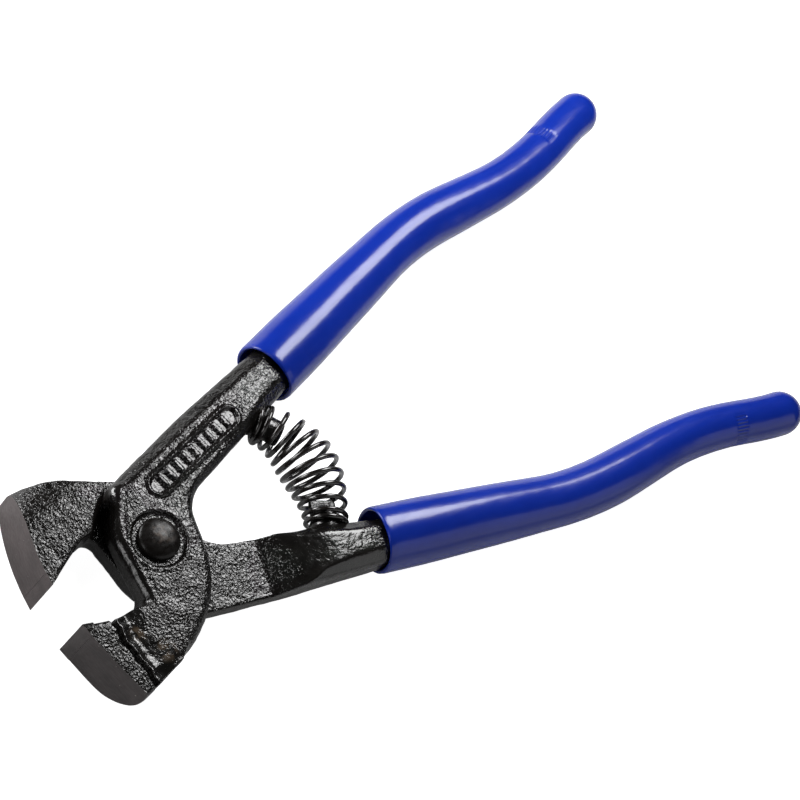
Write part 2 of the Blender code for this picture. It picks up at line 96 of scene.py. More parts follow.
BACK_JAW = {
    "tip": (-27.9, -1.75),
    "inner": ((-16.2, -7.4, 4.0), (-13.0, -7.9, 0.0)),
    "throat": (-9.9, -8.0, 2.6),
    "root_inner": (-18.0, -8.0, 0.0),
    "face_end": (-21.3, -24.5),
    "face_bulge": 1.3,
    "root_outer": (-16.5, -22.2, 0.0),
    "outer": ((-16.5, -22.8, 0.0), (-11.3, -20.05, 0.0), (-6.2, -17.05, 0.0)),
    "eye": (7.8, -15.5, 18.0),
    "rounding": (11.2, 9.8),
    "handle_outer": ((51.0, 29.0, 0.0), (22.0, 22.8, 60.0), (3.5, 18.2, 20.0), (-2.6, 16.2, 2.5)),
    "handle_inner": (51.0, 18.9, 0.0),
    "crotch": (11.3, 5.15, 9.0),
    "outer_chamfer": (0.8, 2.6),
    "eye_chamfer": 0.6,
    "peg": (39.3, 14.2, math.radians(-63), 6.3),
}

# Ground faces and tips; a section runs along the ground face and along the inner edge
ROUNDING_HEADING = math.radians(-15)
GRIND_STOCK = 1.2  # metal left on the jaw's face for the grinding cut
GRIND_REACH = GRIND_STOCK * 1.3
FACE_STEPS = 24
FACE_CORNER_STEP = 4
TIP_SECTION = ((0.0, 0.0), (3.0, 0.0), (2.2, 1.75), (0.0, 2.4))
SEAT_SECTION = ((3.02, -3.0), (3.02, 0.0), (2.22, 1.77), (0.0, 2.42), (-3.0, 2.42), (-3.0, -3.0))
TIP_INSET = 0.02
TIP_BEVEL = 0.02
CUTTER_REACH = 6.0
CUTTER_DEPTH = 8.0
CUTTER_HALF = 12.0

# Ramp from the mating face down to the handle's full thickness
RAMP_HEADING = math.radians(16)
RAMP_START = 24.0
RAMP_END = 43.3
RAMP_SLOPES = (math.radians(30), math.radians(4))
RAMP_EDGE_X = (RAMP_START - 1.0, RAMP_START + 8.0)
RAMP_EDGE_WIDTH = (-1.5, 1.9)  # a chamfer of negative width touches nothing

# Chamfers on the rims
INNER_CHAMFER = (1.6, 2.7)
INNER_CHAMFER_X = (28.0, 44.0)
OUTER_CHAMFER_X = (5.0, 46.0)
RIM_SIDES = (-1.0, 1.0)  # across the handle, from its inner side to its outer side
EYE_TO_HANDLE_X = (-3.0, 4.0)
EYE_TO_HANDLE_Y = (6.0, 12.0)
JAW_CHAMFER = 0.7

# Outer side of the jaw, from the raised side over a groove and a ridge down to the eye's face. Places
# along y give the groove's x and the x where the eye's face begins; the profile runs from the groove.
SHOULDER_Y = (-24.0, -21.2, -18.4, -15.4, -12.3)
GROOVE_X = (-19.6, -19.9, -20.3, -20.8, -20.2)
EYE_FACE_X = (-10.5, -12.1, -14.8, -15.0, -13.0)
PROFILE_X = (-1.3, -0.9, -0.35, 0.0, 0.45, 0.75, 0.9, 1.1, 3.5, 3.7, 6.5)
PROFILE_Z = (7.5, 7.2, 5.3, 5.0, 5.3, 6.2, 6.4, 6.3, 5.0, 4.95, 5.25)
PROFILE_STEEPEST = 1.5
EYE_FACE_RISE = 0.15
EYE_FACE_EDGE = (-0.4, 0.3)
SHOULDER_WAVES = ((0.15, 1.3, 0.0), (0.1, 2.9, 1.0))  # height, radians per millimetre, phase

# How far the fillets between surfaces reach
EDGE_BLEND = 0.4
RIM_BLEND = 0.7
FORGED_BLEND = 0.9
ROUNDING_BLEND = 0.8
PROFILE_BLEND = 0.35
STEP_BLEND = 1.4
POCKET_BLEND = 0.3

# Distance fields
VOXEL = 0.25
BAND_VOXELS = 3
FIELD_BOX = ((-31.0, 53.0), (-31.0, 31.0), (-9.0, 9.0))
FAR_OUTSIDE = 1e9
FAR_INSIDE = -9.0
LEAST_REACH = 0.05
LEAST_STEEPNESS = 1e-3
TINY = 1e-6
SKIN_NOISE = ((0.07, 2.6, 3), (0.035, 0.9, 7))  # height, size, seed

# Panel in the outer face, and the rings; a ridge is its height, its middle and its width
PANEL_FROM = (7.2, 10.3)
PANEL_TO = (30.6, 16.2)
PANEL_HALF_WIDTH = 2.45
PANEL_BORDER = (0.35, 0.0, 0.4)
PANEL_MOAT = (-0.12, 1.0, 0.5)
PANEL_FLOOR = -0.45
PANEL_SIDE = (0.15, 0.7)
PANEL_BARS = 9
BAR_HEIGHT = 0.55
BAR_HALF = 0.30  # as a share of the distance between bars
BAR_SIDE = (0.0, 0.14)
BAR_END = (0.7, 1.0)
RECESS_R = 6.2
RECESS_DEPTH = 0.7
RECESS_SIDE = (-0.35, 0.35)
RECESS_RING = (0.12, 0.6, 0.45)
RIM_GROOVE = (-0.10, -2.9, 0.5)
RIM_GROOVE_X = (-2.0, 1.0)
RIM_GROOVE_Y = (-12.0, -9.0)
RELIEF_Z = (2.0, 4.0)  # the relief fades in between these heights

# Where the paint is calmer than its crinkle, and by what share
OUTER_SIDE_Z = 1.0
OUTER_FACE_Z = 3.0
EYE_RIM_WIDTH = (1.3, 2.6)
EYE_RIM_X = (-2.0, 1.0)
EYE_RIM_Y = (-13.0, -9.0)
HANDLE_RIM_WIDTH = (2.2, 3.4)
HANDLE_RIM_X = (0.0, 4.0)
HANDLE_RIM_Y = (10.0, 13.0)
CALM_PANEL = (0.2, 1.0)
CALM_SHOULDER_FROM = (-1.0, -0.4)
CALM_SHOULDER_TO = (-0.3, 0.5)
CALM_SHOULDER_Y = (-10.0, -8.0)
CALM_RAMP_FROM = (24.0, 29.0)
CALM_RAMP_TO = (42.0, 45.0)
CALM_PEG = (0.0, 0.6)
PEGS_FROM_X = 30.0
CALM = {"ramp": 0.75, "eye_rim": 0.8, "handle_rim": 0.5, "panel": 0.65, "shoulder": 0.65, "peg": 0.7}

# Pegs and spring
PEG_R = 3.15
PEG_ROUND = 0.9
PEG_ROOT = 3.0
PEG_ROOT_ROUND = 0.2
COLLAR_R = 3.6
COLLAR_HEIGHT = 1.1
COLLAR_ROUND = 0.8
SPRING_LINE = ((39.5, -13.9), (44.5, -5.8), (46.6, 6.0), (38.2, 13.6))
SPRING_SAMPLES = 50
WIRE_R = 0.57
WIRE_SIDES = 14
COIL_BACK_R = 4.45
COIL_FRONT_R = 4.2
COIL_BARREL = 2.1
COIL_TURNS = 11.5
COIL_STEPS = 36
COIL_END_PITCH = 2.3  # wire radii between neighbouring closed turns

# Handle and grip
HANDLE_START = (20.0, 14.68)
HANDLE_HEADING = math.radians(15)
HANDLE_BEND_R = 85.0
HANDLE_RUNS = ((72.5, -15.0), (12.0, 17.0), (3.0, -9.0), (0.9, 0.0))  # straight length, then bend in degrees
PATH_LENGTH = 160.0
PATH_STEP = 0.05
MOUTH_X = 47.3
GRIP_DISTANCES = (0.0, 14.0, 30.0, 45.0, 66.0, 78.0, 88.0, 100.0, 125.0)
GRIP_RADII = (7.5, 7.4, 6.85, 6.2, 6.12, 5.75, 5.4, 5.25, 5.25)
RADIUS_SPAN = (-20.0, 150.0)
RADIUS_STEP = 0.5
RADIUS_WINDOW = 25
GRIP_WALL = 1.6
GRIP_SIDES = 160
GRIP_STEP = 1.0
ROUND = 2.0
MOUTH_SQUARENESS = 2.4
HOLLOW_DEPTHS = (14.0, 8.0, 3.0, 0.9)
FLARE = 0.4
FLARE_DEPTH = 8.0
LIP_R = 0.5
LIP_INSET = 0.1
LIP_STEPS = 6
BAND_FROM_END = 19.5
BAND_WIDTH = 3.0
BAND_MARGIN = 0.4
BAND_RINGS = 14
BAND_FADE = (-0.3, 0.3)
BAND_OUTER_HALF = (-0.15, 0.05)  # cosines from the grip's outer side
BAND_SINK = 0.13
BAND_RIBS = 40
RIB_HEIGHT = 0.12
DIP_WAVES = ((0.03, 0.21, 2), (0.008, 1.3, 1))  # height, radians per millimetre, waves round the grip
DIP_WAVES_FROM = (2.0, 10.0)
END_STEPS = 12
END_ANGLE = math.radians(88)
END_LEAST_R = 0.2

# Rivet
SHANK_R = 4.0
HEAD_R = 4.75
HEAD_SEAT_Z = 4.75
HEAD_EDGE = 0.15
DOME_Z = 5.35
DOME_HEIGHT = 1.5
DOME_ANGLES = np.linspace(0, math.pi / 2 - 0.03, 12)
FOOT_R = 5.3
FOOT_Z = -5.25
FOOT_EDGE = (0.2, 0.15)
FOOT_CONE_Z = -3.6
FOOT_GAP = 0.15
FOOT_SEAT_SCALE = 0.75  # turns the seat's cone into about a distance
AXIS_R = 0.02
RIVET_SIDES = 72

# Edges sharper than these angles stay sharp
FORGING_SHARP = math.radians(38)
RIVET_SHARP = math.radians(50)

# Faces nearer the ground face than this, and facing it, are bare metal
GROUND_REACH = 0.04
GROUND_FACING_X = -0.7
GROUND_LEVEL_Z = 0.05

# Colours
PAINT_DARK = (0.0030, 0.0027, 0.0025)
PAINT_LIGHT = (0.0062, 0.0055, 0.0050)
PAINT_WALL = (0.0046, 0.0037, 0.0032)
WORN_BROWN = (0.060, 0.044, 0.030)
GROUND_DARK = (0.040, 0.033, 0.033)
GROUND_LIGHT = (0.056, 0.046, 0.046)
GROUND_SPECK = (0.45, 0.42, 0.40)
CARBIDE_DARK = (0.041, 0.034, 0.034)
CARBIDE_LIGHT = (0.058, 0.048, 0.048)
PAINTED_LIGHT_SHADES = {"front": 0.85, "back": 1.45}  # painted light: the back jaw's ground face and tip are painted brighter and the front jaw's darker, as the light falls on each
RIVET_BLACK = (0.0045, 0.0038, 0.0034)
RIVET_BROWN = (0.055, 0.042, 0.034)
WIRE_DARK = (0.004, 0.0035, 0.0033)
WIRE_LIGHT = (0.010, 0.008, 0.0075)
VINYL_DARK = (0.0026, 0.0150, 0.192)
VINYL_LIGHT = (0.0034, 0.0180, 0.218)
TABLE_WHITE = (0.6, 0.6, 0.6, 1.0)
WHITE = (1.0, 1.0, 1.0, 1.0)

# Worn spots on the front arm and on the rivet: place and radius
FRONT_WORN = (((-16.5, -15.5, 5.6), 2.4), ((-13.0, -21.3, 5.3), 3.2))
RIVET_WORN = ((0.8, 0.6, 7.0), 3.6)
SPOT_CORE = 0.3

# Camera, from the pivot at the tool's mid-plane
CAMERA_AT = (-354.6, -105.4, 639.3)
CAMERA_RIGHT = (0.73446, -0.54881, 0.39922)
CAMERA_FORWARD = (0.55108, 0.13897, -0.82280)
CAMERA_LENS = 157.0
CAMERA_SENSOR = 36.0
CAMERA_NEAR = 0.05

# Studio: each light's place in millimetres from the pivot, its size in metres and its power in watts
LIGHTS = {
    "key": ((168.0, 70.0, 165.0), (0.09, 0.14), 0.63),
    "low_left": ((-450.0, 90.0, 300.0), (0.2, 0.22), 0.6),
    "far_side": ((-150.0, 450.0, 100.0), (0.3, 0.2), 3.4),
    "fill": ((100.0, -500.0, 200.0), (0.8, 0.4), 1.0),
}
LIGHTS_AIM = (40.0, 0.0, 0.0)
TABLE_HALF = 4.0
TABLE_GLOW = (0.11, 0.97)  # as the tool sees it, as the camera sees it
WORLD_GLOW = 0.03


# ---- plane geometry --------------------------------------


def polar(radius, angle):
    return np.array([radius * math.cos(angle), radius * math.sin(angle)])


def rounded(corners, step=math.radians(6)):
    """A closed outline through (x, y, radius) corners, each rounded to its radius."""
    outline = []
    for i, (x, y, radius) in enumerate(corners):
        corner = Vector((x, y))
        if radius == 0.0:
            outline.append(tuple(corner))
            continue
        before = (Vector(corners[i - 1][:2]) - corner).normalized()
        after = (Vector(corners[(i + 1) % len(corners)][:2]) - corner).normalized()
        half = before.angle(after) / 2
        centre = corner + (before + after).normalized() * radius / math.sin(half)
        first = corner + before * radius / math.tan(half) - centre
        side = 1 if after.cross(before) > 0 else -1
        start = math.atan2(first.y, first.x)
        sweep = side * (math.pi - 2 * half)
        count = max(2, math.ceil(abs(sweep) / step))
        for k in range(count + 1):
            outline.append(tuple(np.array(centre) + polar(radius, start + sweep * k / count)))
    return outline


def jaw_face(jaw, stock=0.0):
    """The ground face in plan, from the cutting edge to the face end, moved out by the stock."""
    tip, end = Vector(jaw["tip"]), Vector(jaw["face_end"])
    outward = -(end - tip).normalized().orthogonal()
    points = []
    for i in range(FACE_STEPS + 1):
        share = i / FACE_STEPS
        bulge = jaw["face_bulge"] * 4 * share * (1 - share)
        points.append(tip.lerp(end, share) + outward * (bulge + stock))
    return points


def plate_corners(jaw):
    corners = [*jaw["handle_outer"], *EYE_LEFT, jaw["throat"], jaw["root_inner"], jaw["root_outer"]]
    return [*corners, jaw["eye"], jaw["crotch"], jaw["handle_inner"]]


def jaw_corners(jaw):
    """The jaw block in plan, with metal left on its face."""
    inner, outer = jaw["inner"], jaw["outer"]
    tip, face_end = Vector(jaw["tip"]), Vector(jaw["face_end"])
    along_inner = (tip - Vector(inner[0][:2])).normalized() * GRIND_REACH
    along_outer = (face_end - Vector(outer[0][:2])).normalized() * GRIND_REACH
    tip, face_end = tip + along_inner, face_end + along_outer
    middle = jaw_face(jaw, GRIND_STOCK)[FACE_CORNER_STEP:-FACE_CORNER_STEP:FACE_CORNER_STEP]
    face = [(p.x, p.y, 0.0) for p in (tip, *middle, face_end)]
    stop = [(x, y, 0.0) for x, y in STOP_LINE]
    return [JAW_ROOT, *inner[::-1], *face, *outer, *stop]


# ---- distance fields -------------------------------------


def soft_max(a, b, blend):
    h = np.maximum(blend - np.abs(a - b), 0.0) / blend
    return np.maximum(a, b) + h * h * blend * 0.25


def soft_min(a, b, blend):
    return -soft_max(-a, -b, blend)


def ease(value, span):
    """From 0 before the span to 1 after it."""
    low, high = span
    t = np.clip((value - low) / (high - low), 0.0, 1.0)
    return t * t * (3 - 2 * t)


def between(low, high, share):
    return low + (high - low) * share


def ridge(distance, shape):
    height, middle, width = shape
    return height * np.exp(-(((distance - middle) / width) ** 2))


def chamfer(plan, depth, width):
    """A plane that takes this width off the edge where two surfaces meet."""
    return (plan + depth + width) * math.sqrt(0.5)


def outline_distance(outline, x, y):
    """Signed distance from each plane point to a closed outline, negative inside."""
    nearest = np.full(x.shape, FAR_OUTSIDE)
    inside = np.zeros(x.shape, bool)
    for (ax, ay), (bx, by) in zip(outline, outline[1:] + outline[:1]):
        ex, ey = bx - ax, by - ay
        share = np.clip(((x - ax) * ex + (y - ay) * ey) / (ex * ex + ey * ey), 0.0, 1.0)
        nearest = np.minimum(nearest, (x - ax - ex * share) ** 2 + (y - ay - ey * share) ** 2)
        if ay != by:
            crossing = (ay > y) != (by > y)
            inside ^= crossing & (x < ax + (y - ay) * ex / ey)
    return np.where(inside, -1.0, 1.0) * np.sqrt(nearest)


def segment_distance(x, y, start, end):
    """(distance, share of the way along) from each plane point to a segment."""
    ex, ey = end[0] - start[0], end[1] - start[1]
    share = np.clip(((x - start[0]) * ex + (y - start[1]) * ey) / (ex * ex + ey * ey), 0.0, 1.0)
    return np.hypot(x - start[0] - ex * share, y - start[1] - ey * share), share


def lattice_noise(axes, size, seed):
    """Smooth noise between -1 and 1 on a grid, from random values on a lattice of the given size."""
    starts = [axis[0] for axis in axes]
    counts = [int((axis[-1] - axis[0]) / size) + 3 for axis in axes]
    field = np.random.default_rng(seed).uniform(-1, 1, counts).astype(np.float32)
    for dimension, axis in enumerate(axes):
        place = (axis - starts[dimension]) / size
        index = place.astype(int)
        share = place - index
        share = (share * share * (3 - 2 * share)).astype(np.float32)
        shape = [1] * len(axes)
        shape[dimension] = -1
        share = share.reshape(shape)
        low = np.take(field, index, dimension)
        field = low * (1 - share) + np.take(field, index + 1, dimension) * share
    return field


def ramp_surface(x, y, z):
    """How far a point lies below the ramp: flat at first, then a rounded ramp to full thickness."""
    along = x * math.cos(RAMP_HEADING) + y * math.sin(RAMP_HEADING)
    steep, gentle = RAMP_SLOPES
    radius = (RAMP_END - RAMP_START) / (math.sin(steep) - math.sin(gentle))
    centre_s = RAMP_START + radius * math.sin(steep)
    centre_z = MATING_GAP + radius * math.cos(steep)
    reach = np.clip(along, RAMP_START, RAMP_END) - centre_s
    height = centre_z - np.sqrt(radius * radius - reach * reach)
    slope = np.where((along > RAMP_START) & (along < RAMP_END), reach / (centre_z - height), 0.0)
    return (height - z) / np.sqrt(1 + slope * slope)


def ramp_edge(plan, x, y, z):
    """The chamfer along both edges of the ramp."""
    width = between(*RAMP_EDGE_WIDTH, ease(x, RAMP_EDGE_X))
    return np.where(x > RAMP_EDGE_X[0], chamfer(plan, ramp_surface(x, y, z), width), FAR_INSIDE)


def panel_relief(x, y):
    """The panel in the outer face: a raised border, a sunken floor and a row of bars on it."""
    distance, share = segment_distance(x, y, PANEL_FROM, PANEL_TO)
    edge = distance - PANEL_HALF_WIDTH
    from_bar = np.abs((share * PANEL_BARS) % 1.0 - 0.5)
    bar = ease(BAR_HALF - from_bar, BAR_SIDE) * ease(-edge, BAR_END) * (share > 0) * (share < 1)
    border = ridge(edge, PANEL_BORDER) + ridge(edge, PANEL_MOAT)
    return border + PANEL_FLOOR * ease(-edge, PANEL_SIDE) + BAR_HEIGHT * bar


def outer_relief(plan, x, y):
    """How far the outer face rises or sinks: the panel, the ring round the rivet, the eye's left rim."""
    radius = np.hypot(x, y)
    ring = ridge(radius - RECESS_R, RECESS_RING) - RECESS_DEPTH * ease(RECESS_R - radius, RECESS_SIDE)
    left_rim = ease(-x, RIM_GROOVE_X) * ease(y, RIM_GROOVE_Y)
    return panel_relief(x, y) + ring + ridge(plan, RIM_GROOVE) * left_rim


def rim_chamfer(jaw, x, y):
    """Width of the chamfer on the rims: wide outside the handle, narrower inside it and at the eye."""
    heading = HANDLE_HEADING
    left = -(x - HANDLE_START[0]) * math.sin(heading) + (y - HANDLE_START[1]) * math.cos(heading)
    inner = between(*INNER_CHAMFER, ease(x, INNER_CHAMFER_X))
    outer = between(*jaw["outer_chamfer"], ease(x, OUTER_CHAMFER_X))
    on_handle = between(inner, outer, ease(left, RIM_SIDES))
    return between(jaw["eye_chamfer"], on_handle, ease(x, EYE_TO_HANDLE_X) * ease(y, EYE_TO_HANDLE_Y))


def shoulder_place(x, y):
    """How far a point lies past the groove on the jaw's outer side, and past the start of the eye's face."""
    wander = sum(height * np.sin(y * rate + phase) for height, rate, phase in SHOULDER_WAVES)
    past_groove = x - np.interp(y, SHOULDER_Y, GROOVE_X) - wander
    past_face = x - np.interp(y, SHOULDER_Y, EYE_FACE_X) - 2 * wander
    return past_groove, past_face


def corner_rounding(jaw, x, y, z):
    """Distance outside the elliptic rounding at the jaw's outer corner, on the mating side."""
    width, height = jaw["rounding"]
    inward = Vector((-math.sin(ROUNDING_HEADING), math.cos(ROUNDING_HEADING)))
    across = (x - jaw["face_end"][0]) * inward.x + (y - jaw["face_end"][1]) * inward.y
    u = np.maximum(width - across, 0.0) / width
    v = np.maximum(height - JAW_HALF - z, 0.0) / height
    reach = np.sqrt(u * u + v * v)
    steepness = np.sqrt((u / width) ** 2 + (v / height) ** 2) / np.maximum(reach, TINY)
    outside = (reach - 1) / np.maximum(steepness, LEAST_STEEPNESS)
    return np.where(reach > LEAST_REACH, outside, FAR_INSIDE)


def jaw_field(jaw, x, y, z):
    """The jaw at full width, rounded at its outer corner on the mating side, stepped on its outer side."""
    plan = outline_distance(rounded(jaw_corners(jaw)), x, y)
    depth = np.abs(z) - JAW_HALF
    field = soft_max(plan, depth, EDGE_BLEND)
    field = soft_max(field, chamfer(plan, depth, JAW_CHAMFER), EDGE_BLEND)
    field = soft_max(field, corner_rounding(jaw, x, y, z), ROUNDING_BLEND)
    past_groove, past_face = shoulder_place(x, y)
    top = np.interp(past_groove, PROFILE_X, PROFILE_Z) + EYE_FACE_RISE * ease(past_face, EYE_FACE_EDGE)
    slope = np.clip(np.gradient(top, VOXEL, axis=0), -PROFILE_STEEPEST, PROFILE_STEEPEST)
    return soft_max(field, (z - top) / np.sqrt(1 + slope * slope), PROFILE_BLEND)


def right_of(x, y, start, end):
    """How far each plane point lies to the right of the line from start to end."""
    way = (end - start).normalized()
    return (x - end.x) * way.y - (y - end.y) * way.x


def pocket_field(jaw, x, y, z):
    """Room for the other arm on the mating side: eye, shoulder, handle root, and the jaw's trimmed corner."""
    radius = np.hypot(x, y)
    wall = (radius - STEP_R_INNER - STEP_SLOPE * (MATING_GAP - z)) * math.cos(math.atan(STEP_SLOPE))
    eye = soft_max(wall, z - MATING_GAP, STEP_BLEND)
    outer, inner = (Vector(point) for point in STOP_LINE)
    root = np.maximum(right_of(x, y, inner, outer), -ramp_surface(x, y, z))
    start, end = (Vector(corner[:2]) for corner in jaw["outer"][-2:])
    corner = np.maximum(np.maximum(-right_of(x, y, start, end), z - TRIM_LEVEL), start.x - x)
    return soft_min(soft_min(eye, root, POCKET_BLEND), corner, POCKET_BLEND)


def peg_field(peg, x, y, z):
    """A round peg with a low collar, from a point on the handle's inner side."""
    base_x, base_y, heading, height = peg
    axis = polar(1.0, heading)
    along = (x - base_x) * axis[0] + (y - base_y) * axis[1]
    across = np.hypot((x - base_x) * axis[1] - (y - base_y) * axis[0], z)
    pin = soft_max(across - PEG_R, along - height, PEG_ROUND)
    collar = soft_max(across - COLLAR_R, along - COLLAR_HEIGHT, COLLAR_ROUND)
    return soft_max(soft_min(pin, collar, COLLAR_ROUND), -along - PEG_ROOT, PEG_ROOT_ROUND)


def forging_field(jaw, foot_seat):
    """(field, lowest grid corner) of one whole forging, in millimetres."""
    axes = [np.arange(low, high, VOXEL) for low, high in FIELD_BOX]
    x, y = np.meshgrid(axes[0], axes[1], indexing="ij")
    x, y, z = x[:, :, None], y[:, :, None], axes[2][None, None, :]
    plan = outline_distance(rounded(plate_corners(jaw)), x, y)
    depth = np.abs(z - outer_relief(plan, x, y) * ease(z, RELIEF_Z)) - PLATE_HALF
    field = soft_max(plan, depth, EDGE_BLEND)
    field = soft_max(field, chamfer(plan, depth, rim_chamfer(jaw, x, y)), RIM_BLEND)
    field = soft_max(field, ramp_edge(plan, x, y, z), RIM_BLEND)
    field = soft_min(field, jaw_field(jaw, x, y, z), FORGED_BLEND)
    field = soft_min(field, peg_field(jaw["peg"], x, y, z), FORGED_BLEND)
    field = soft_max(field, -pocket_field(jaw, x, y, z), EDGE_BLEND)
    for height, size, seed in SKIN_NOISE:
        field = field + height * lattice_noise(axes, size, seed)
    radius = np.hypot(x, y)
    field = np.maximum(field, BORE_R - radius)
    if foot_seat:
        field = np.maximum(field, (FOOT_R + FOOT_GAP - PLATE_HALF + z - radius) * FOOT_SEAT_SCALE)
    return field, [axis[0] for axis in axes]


def field_to_mesh(field, corner, name):
    """The zero surface of a field as a mesh in millimetres."""
    band = BAND_VOXELS * VOXEL
    grid = openvdb.FloatGrid(band)
    grid.copyFromArray(np.clip(field, -band, band).astype(np.float32))
    points, quads = grid.convertToQuads(0.0)
    points = points * VOXEL + np.array(corner)
    mesh = bpy.data.meshes.new(name)
    mesh.from_pydata(points.tolist(), [], quads[:, ::-1].tolist())
    return mesh


# ---- meshes ----------------------------------------------


def new_object(name, mesh, smooth=True):
    obj = bpy.data.objects.new(name, mesh)
    bpy.context.scene.collection.objects.link(obj)
    if smooth:
        mesh.shade_smooth()
    else:
        mesh.shade_flat()
    return obj


def prism(outline, low, high, name):
    """A closed prism in millimetres over a plane outline."""
    bm = bmesh.new()
    face = bm.faces.new([bm.verts.new((p[0], p[1], low)) for p in outline])
    extruded = bmesh.ops.extrude_face_region(bm, geom=[face])["geom"]
    top = [item for item in extruded if isinstance(item, bmesh.types.BMVert)]
    bmesh.ops.translate(bm, vec=(0, 0, high - low), verts=top)
    bmesh.ops.recalc_face_normals(bm, faces=bm.faces)
    mesh = bpy.data.meshes.new(name)
    bm.to_mesh(mesh)
    bm.free()
    return mesh


def loft(rings, name):
    """A closed skin over rings of equal count."""
    rings = np.array(rings)
    count, sides = rings.shape[:2]
    index = np.arange(count * sides).reshape(count, sides)
    across = np.roll(index, -1, axis=1)
    quads = np.stack([index[:-1], across[:-1], across[1:], index[1:]], axis=-1).reshape(-1, 4)
    faces = quads.tolist() + [index[0][::-1].tolist(), index[-1].tolist()]
    mesh = bpy.data.meshes.new(name)
    mesh.from_pydata(rings.reshape(-1, 3).tolist(), [], faces)
    return mesh


def lathe(profile, sides, name):
    """A skin over a (radius, z) profile turned about Z, closed where it meets the axis."""
    angles = np.arange(sides) * TURN / sides
    rings = [
        np.stack([r * np.cos(angles), r * np.sin(angles), np.full(sides, z)], axis=-1)
        for r, z in profile
    ]
    return loft(rings, name)


def applied(obj):
    """Turns the object's modifiers into its mesh."""
    graph = bpy.context.evaluated_depsgraph_get()
    mesh = bpy.data.meshes.new_from_object(obj.evaluated_get(graph))
    obj.modifiers.clear()
    obj.data = mesh
    return mesh


def cut(obj, *cutters):
    """Takes the cutters away from the object and removes them."""
    for cutter in cutters:
        modifier = obj.modifiers.new("cut", "BOOLEAN")
        modifier.operation = "DIFFERENCE"
        modifier.solver = "EXACT"
        modifier.object = cutter
        applied(obj)
        bpy.data.objects.remove(cutter)


def place(obj, side):
    """From millimetres about the pivot into the row frame, turned over for the back arm."""
    turned = Matrix.Rotation(math.pi, 4, "X") if side == "back" else Matrix.Identity(4)
    obj.data.transform(Matrix.Translation(PIVOT) @ turned @ Matrix.Scale(MM, 4))
    obj.data.update()
    return obj


# ---- forgings and tips -----------------------------------


def tip_outline(jaw, section):
    """A section given along the ground face and along the inner edge, as points in plan."""
    face = jaw_face(jaw)
    first, second = face[0], face[FACE_CORNER_STEP]
    down_face = (second - first).normalized()
    along_inner = (Vector(jaw["inner"][0][:2]) - first).normalized()
    return [first + down_face * a + along_inner * b for a, b in section]


def cutting_block(outline, name):
    return new_object(name, prism(outline, -CUTTER_HALF, CUTTER_HALF, name))


def grinding_cutter(jaw):
    """Everything in front of the ground face."""
    face = jaw_face(jaw)
    start = face[0] + (face[0] - face[1]).normalized() * CUTTER_REACH
    end = face[-1] + (face[-1] - face[-2]).normalized() * CUTTER_REACH
    away = -(end - start).normalized().orthogonal() * CUTTER_DEPTH
    return cutting_block([start, *face, end, end + away, start + away], "grinding_cut")


def mark_ground_faces(mesh, jaw):
    """Gives the faces that lie on the ground face the second material."""
    count = len(mesh.polygons)
    centres = np.empty(count * 3, np.float32)
    normals = np.empty(count * 3, np.float32)
    mesh.polygons.foreach_get("center", centres)
    mesh.polygons.foreach_get("normal", normals)
    centres, normals = centres.reshape(-1, 3), normals.reshape(-1, 3)
    face = [tuple(p) for p in jaw_face(jaw)]
    distance = np.full(count, FAR_OUTSIDE)
    for start, end in zip(face, face[1:]):
        distance = np.minimum(distance, segment_distance(centres[:, 0], centres[:, 1], start, end)[0])
    facing = (normals[:, 0] < GROUND_FACING_X) & (np.abs(normals[:, 2]) < GROUND_LEVEL_Z)
    ground = (distance < GROUND_REACH) & facing
    mesh.polygons.foreach_set("material_index", ground.astype(np.int32))


def calm_places(jaw, x, y, z):
    """Masks of the places where the paint lies smoother."""
    from_rim = -outline_distance(rounded(plate_corners(jaw)), x, y)
    eye_rim = (1 - ease(from_rim, EYE_RIM_WIDTH)) * ease(-x, EYE_RIM_X) * ease(y, EYE_RIM_Y)
    handle_rim = (1 - ease(from_rim, HANDLE_RIM_WIDTH)) * ease(x, HANDLE_RIM_X) * ease(y, HANDLE_RIM_Y)
    from_panel = segment_distance(x, y, PANEL_FROM, PANEL_TO)[0] - PANEL_HALF_WIDTH
    past_groove, past_face = shoulder_place(x, y)
    shoulder = ease(past_groove, CALM_SHOULDER_FROM) * (1 - ease(past_face, CALM_SHOULDER_TO))
    ramp = ease(x, CALM_RAMP_FROM) * (1 - ease(x, CALM_RAMP_TO))
    return {
        "ramp": ramp * (z < 0),
        "eye_rim": eye_rim * (z > OUTER_SIDE_Z),
        "handle_rim": handle_rim,
        "panel": (1 - ease(from_panel, CALM_PANEL)) * (z > OUTER_FACE_Z),
        "shoulder": shoulder * (1 - ease(y, CALM_SHOULDER_Y)) * (z > OUTER_FACE_Z),
        "peg": ease(-from_rim, CALM_PEG) * (x > PEGS_FROM_X),
    }


def mark_crinkle(mesh, jaw):
    """How strongly the paint crinkles at each point."""
    points = np.empty(len(mesh.vertices) * 3, np.float32)
    mesh.vertices.foreach_get("co", points)
    x, y, z = points.reshape(-1, 3).T.astype(float)
    crinkle = np.ones(len(x))
    for name, mask in calm_places(jaw, x, y, z).items():
        crinkle = crinkle * (1 - CALM[name] * mask)
    attribute = mesh.attributes.new("crinkle", "FLOAT", "POINT")
    attribute.data.foreach_set("value", crinkle.astype(np.float32))


